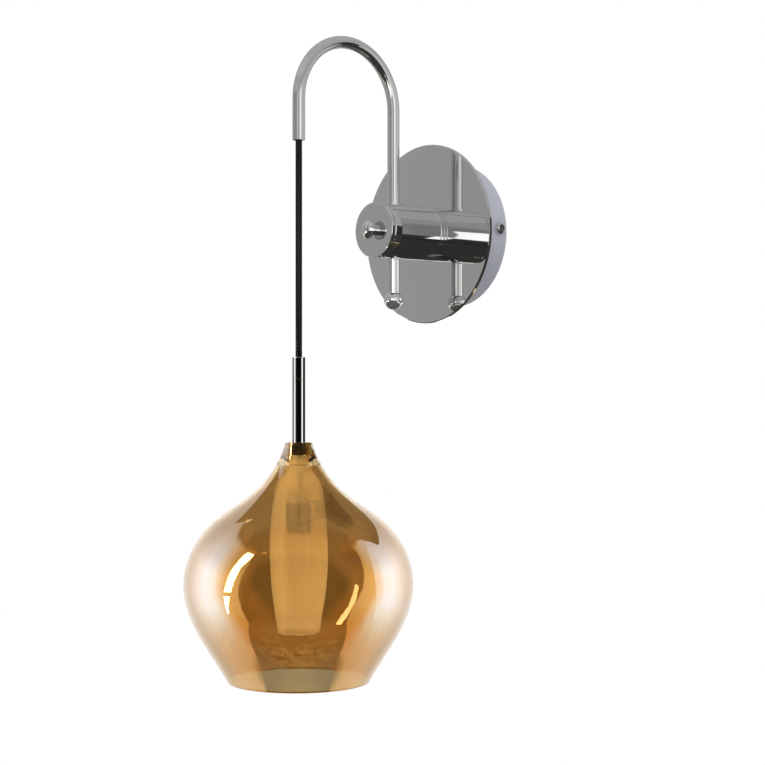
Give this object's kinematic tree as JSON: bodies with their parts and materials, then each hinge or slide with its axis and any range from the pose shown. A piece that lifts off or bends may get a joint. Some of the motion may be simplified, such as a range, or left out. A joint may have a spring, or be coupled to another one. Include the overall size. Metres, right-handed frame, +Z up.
{
  "type": "hanging pendant wall sconce",
  "caption": "Wall light with a round polished canopy, a stubby barrel with a clamp knob, a crook arm, and an onion-shaped glass shade with a slim inner diffuser hanging on a cord.",
  "frame": {"origin": "centre of the wall bracket's two screw slots, on the wall plane, level with the barrel's axis", "axes": "+Z up, +Y into the wall, +X to the right for someone who faces the wall"},
  "size_m": [0.1456, 0.2116, 0.4109],
  "materials": {
    "mirror_chrome": "mirror polished",
    "cup_chrome": "satin plated",
    "screw_chrome": "plated",
    "barrel_chrome": "polished",
    "arm_chrome": "polished",
    "knob_chrome": "polished",
    "sleeve_chrome": "polished",
    "zinc_steel": "zinc plated",
    "steel_hardware": "zinc plated",
    "brass_fittings": "satin",
    "block_aluminium": "machined",
    "terminal_nylon": "matte",
    "pad_nylon": "matte",
    "clear_silicone": "clear",
    "lead_sheath": "smooth",
    "lead_cores": "smooth",
    "earth_insulation": "smooth",
    "cord_cover": "smooth",
    "diffuser_glass": "satin",
    "shade_glass": "clear tinted",
    "holder_ceramic": "matte",
    "bulb_glass": "clear"
  },
  "bodies": {
    "wall_unit": {"wall_bracket": "zinc_steel", "earth_lead": "earth_insulation", "earth_screw": "brass_fittings", "terminal_block": "terminal_nylon", "terminal_inserts": "brass_fittings", "terminal_screws": "steel_hardware", "block_screw": "steel_hardware", "canopy_cup": "cup_chrome", "canopy_disc": "mirror_chrome", "canopy_side_screws": "screw_chrome", "barrel_ring": "barrel_chrome", "barrel_tube": "barrel_chrome", "barrel_cap": "barrel_chrome", "arm_block": "block_aluminium", "arm_collars": "barrel_chrome", "canopy_nipple": "steel_hardware", "nipple_washer": "steel_hardware", "nipple_nut": "steel_hardware", "barrel_lead": "lead_sheath", "lamp_cores": "lead_cores", "clamp_pad": "pad_nylon"},
    "knob_washer": {"knob_washer": "knob_chrome"},
    "clamp_knob": {"clamp_knob": "knob_chrome", "clamp_screw": "steel_hardware"},
    "arm": {"arm_tube": "arm_chrome", "arm_finial": "arm_chrome", "arm_tip_bush": "pad_nylon", "arm_lead": "lead_sheath"},
    "cord_anchor": {"cord_anchor": "steel_hardware"},
    "pendant": {"cord": "cord_cover", "cord_grip": "pad_nylon", "sleeve": "sleeve_chrome", "pendant_lead": "lead_sheath", "stem_nipple": "steel_hardware", "neck_collar": "sleeve_chrome", "glass_washer": "clear_silicone", "diffuser": "diffuser_glass", "diffuser_bush": "pad_nylon", "stem_nut": "steel_hardware", "shade_gasket": "clear_silicone", "outer_shade": "shade_glass", "holder_cap": "steel_hardware", "lampholder": "holder_ceramic", "holder_contacts": "brass_fittings", "holder_screws": "steel_hardware"},
    "bulb": {"bulb": "bulb_glass", "bulb_pins": "steel_hardware"}
  },
  "joints": [
    {"name": "knob_advance", "type": "slide", "parent": "wall_unit", "child": "knob_washer", "axis": [0, -1, 0], "range_m": [0, 0.0014]},
    {"name": "knob_turn", "type": "hinge", "parent": "knob_washer", "child": "clamp_knob", "pos_m": [0, -0.0757, 0], "axis": [0, -1, 0], "range_deg": [0, 720]},
    {"name": "arm_swivel", "type": "hinge", "parent": "wall_unit", "child": "arm", "pos_m": [0, -0.058, 0], "axis": [0, 0, 1], "range_deg": [-70, 70]},
    {"name": "sway_side", "type": "hinge", "parent": "arm", "child": "cord_anchor", "pos_m": [0, -0.1388, 0.0562], "axis": [0, 1, 0], "range_deg": [-10, 10]},
    {"name": "sway_front", "type": "hinge", "parent": "cord_anchor", "child": "pendant", "pos_m": [0, -0.1388, 0.0562], "axis": [1, 0, 0], "range_deg": [-10, 10]},
    {"name": "bulb_pull", "type": "slide", "parent": "pendant", "child": "bulb", "axis": [0, 0, -1], "range_m": [0, 0.112]}
  ],
  "couplings": [
    {"joint": "knob_turn", "follows": "knob_advance", "rad_per_m": 8976}
  ]
}
